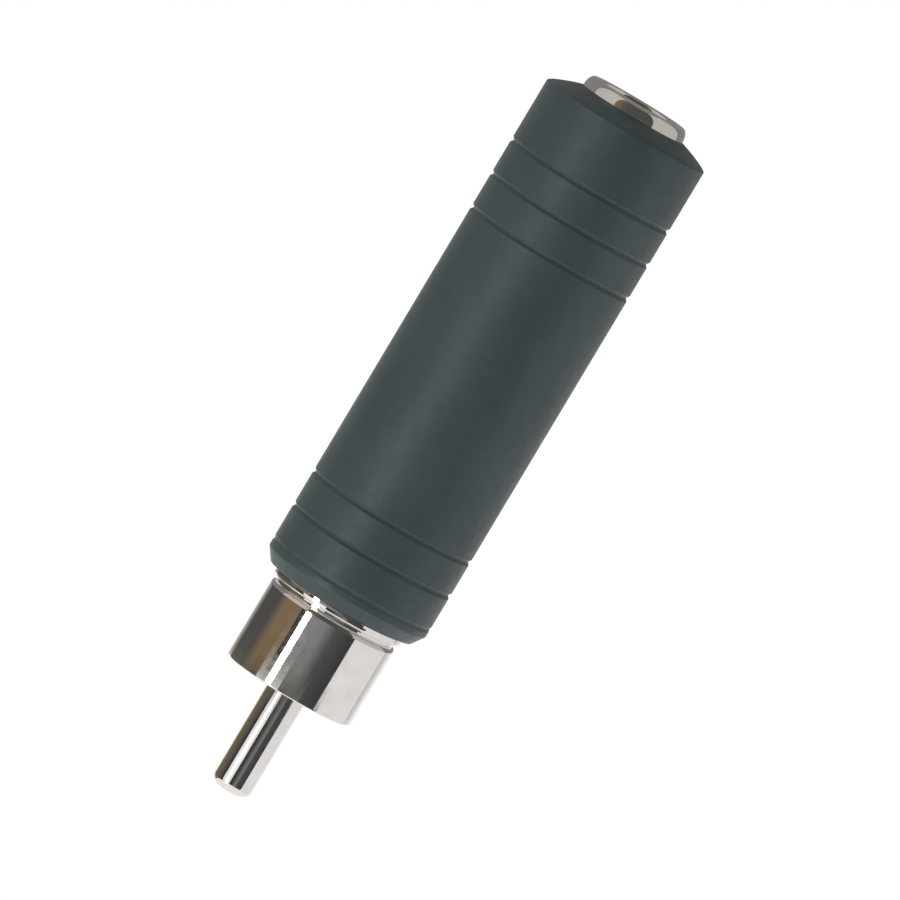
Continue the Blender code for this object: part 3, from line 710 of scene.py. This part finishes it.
def make_world():
    """White background for the camera, metal and glass, and a softer fill for the rest."""
    world = bpy.data.worlds.new("studio")
    bpy.context.scene.world = world
    world.use_nodes = True
    tree = world.node_tree
    sky = tree.nodes["Background"]
    sky.inputs["Color"].default_value = WHITE
    path = tree.nodes.new("ShaderNodeLightPath")
    white = path.outputs["Is Camera Ray"]
    for ray in ("Is Glossy Ray", "Is Transmission Ray"):
        either = tree.nodes.new("ShaderNodeMath")
        either.operation = "MAXIMUM"
        tree.links.new(white, either.inputs[0])
        tree.links.new(path.outputs[ray], either.inputs[1])
        white = either.outputs[0]
    level = tree.nodes.new("ShaderNodeMapRange")
    level.inputs["To Min"].default_value = AMBIENT
    level.inputs["To Max"].default_value = 1.0
    tree.links.new(white, level.inputs["Value"])
    tree.links.new(level.outputs["Result"], sky.inputs["Strength"])


def make_camera(middle):
    """Look past the middle of the axis so that it falls where the picture has it."""
    tilt = math.radians(CAMERA_ELEVATION)
    roll = math.radians(CAMERA_ROLL)
    forward = Vector((0.0, math.cos(tilt), -math.sin(tilt)))
    right = Vector((1.0, 0.0, 0.0))
    up = right.cross(forward)
    across = AXIS_IN_PICTURE[0] - PICTURE_SIDE / 2
    down = AXIS_IN_PICTURE[1] - PICTURE_SIDE / 2
    sideways = (across * math.cos(roll) + down * math.sin(roll)) / PIXELS_PER_MM
    upward = (across * math.sin(roll) - down * math.cos(roll)) / PIXELS_PER_MM
    aim = Vector((0.0, 0.0, middle)) - right * sideways - up * upward
    picture_right = right * math.cos(roll) + up * math.sin(roll)
    picture_up = up * math.cos(roll) - right * math.sin(roll)
    data = bpy.data.cameras.new("camera")
    data.sensor_width = SENSOR
    data.lens = PIXELS_PER_MM * CAMERA_DISTANCE / PICTURE_SIDE * SENSOR
    camera = add("camera", data)
    turn = Matrix((picture_right, picture_up, -forward)).transposed().to_4x4()
    camera.matrix_world = Matrix.Translation((aim - forward * CAMERA_DISTANCE) * MM) @ turn
    bpy.context.scene.camera = camera


# The part and its studio

def dress_outside():
    plate = bright_plate("bright_nickel")
    make_barrel(moulded_plastic("black_moulding", BARREL_COLOURS, (0.44, 0.58), grain=0.12))
    make_nose(plate)
    make_shell(plate)
    make_pin(plate)
    make_insulator(moulded_plastic("dark_insulator", INSULATOR_COLOURS, (0.35, 0.5), grain=0.1))


def dress_inside():
    nylon = moulded_plastic("nylon_moulding", NYLON_COLOURS, (0.38, 0.5), grain=0.15)
    refine("contact_ring", nylon, edge=0.06)
    bronze = sheet_metal("bronze_strip", BRONZE_COLOURS, (0.2, 0.36), grain=0.04)
    refine("tip_spring", bronze, edge=0.03)
    tinned = sheet_metal("tinned_sheet", TINNED_COLOURS, (0.22, 0.4), grain=0.05)
    for node in ("ground_lug", "tip_terminal", "ground_tag"):
        refine(node, tinned, edge=0.03)
    brass = sheet_metal("brass_sheet", BRASS_COLOURS, (0.22, 0.36), grain=0.05)
    refine("pin_retainer", brass, edge=0.04)

    copper = sheet_metal("copper_strand", COPPER_COLOURS, (0.2, 0.36), grain=0.03)
    jackets = {"tip_lead": extruded_jacket("red_jacket", RED_JACKET_COLOURS),
               "ground_lead": extruded_jacket("black_jacket", BLACK_JACKET_COLOURS)}
    for lead, jacket in jackets.items():
        refine(lead + "_wire", copper, edge=0.03, smoothing=LEAD_SMOOTHING)
        refine(lead + "_jacket", jacket, edge=0.05, smoothing=LEAD_SMOOTHING)
    solder = cooled_solder("cooled_solder")
    for node in ("tip_solder", "pin_solder", "lug_solder", "tag_solder"):
        refine(node, solder)


def main():
    bpy.context.scene.view_settings.view_transform = "Standard"
    dress_outside()
    dress_inside()
    make_cards()
    make_strip_light()
    make_floor()
    make_world()
    make_camera((cad_bounds[0].z + cad_bounds[1].z) / 2 / MM)


main()
